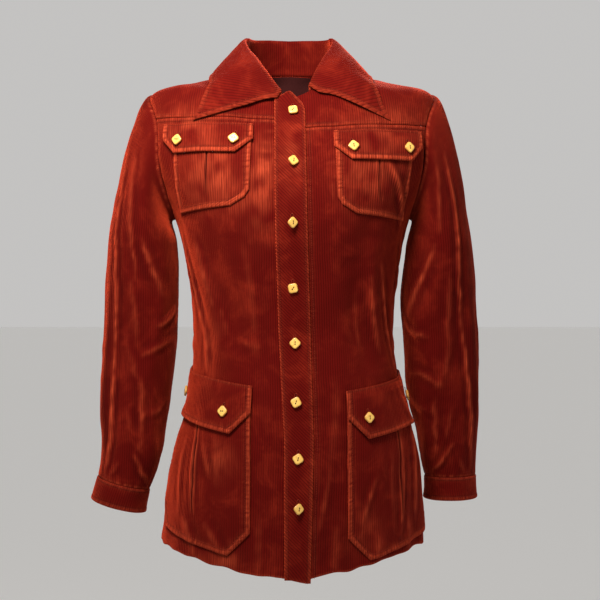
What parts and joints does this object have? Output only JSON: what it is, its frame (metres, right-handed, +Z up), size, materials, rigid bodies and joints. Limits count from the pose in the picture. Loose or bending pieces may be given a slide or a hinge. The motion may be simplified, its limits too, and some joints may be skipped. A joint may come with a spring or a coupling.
{
  "type": "corduroy jacket",
  "caption": "Worn, buttoned corduroy jacket with a wide pointed collar, bias front band, flapped chest and hip pockets and plain cuffs, held hollow as on a wearer.",
  "frame": {"origin": "between the shoulders, level with the neck ends of the shoulder seams", "axes": "+Z up, the front faces -Y, the wearer's left is at +X"},
  "size_m": [0.5449, 0.276, 0.735],
  "materials": {
    "corduroy": "cut-pile corduroy with a velvet sheen, rust red",
    "button_gold": "glossy, marbled golden yellow"
  },
  "bodies": {
    "root": {"front_right": "corduroy", "front_left": "corduroy", "front_yoke_right": "corduroy", "front_yoke_left": "corduroy", "back": "corduroy", "placket": "corduroy", "collar": "corduroy", "sleeve_right": "corduroy", "sleeve_left": "corduroy", "cuff_right": "corduroy", "cuff_left": "corduroy", "chest_pocket_right": "corduroy", "chest_pocket_left": "corduroy", "chest_flap_right": "corduroy", "chest_flap_left": "corduroy", "hip_pocket_right": "corduroy", "hip_pocket_left": "corduroy", "hip_flap_right": "corduroy", "hip_flap_left": "corduroy", "button_1": "button_gold", "button_2": "button_gold", "button_3": "button_gold", "button_4": "button_gold", "button_5": "button_gold", "button_6": "button_gold", "button_7": "button_gold", "button_8": "button_gold", "chest_button_right_inner": "button_gold", "chest_button_right_outer": "button_gold", "chest_button_left_inner": "button_gold", "chest_button_left_outer": "button_gold", "hip_button_right_inner": "button_gold", "hip_button_right_outer": "button_gold", "hip_button_left_inner": "button_gold", "hip_button_left_outer": "button_gold"}
  },
  "joints": []
}
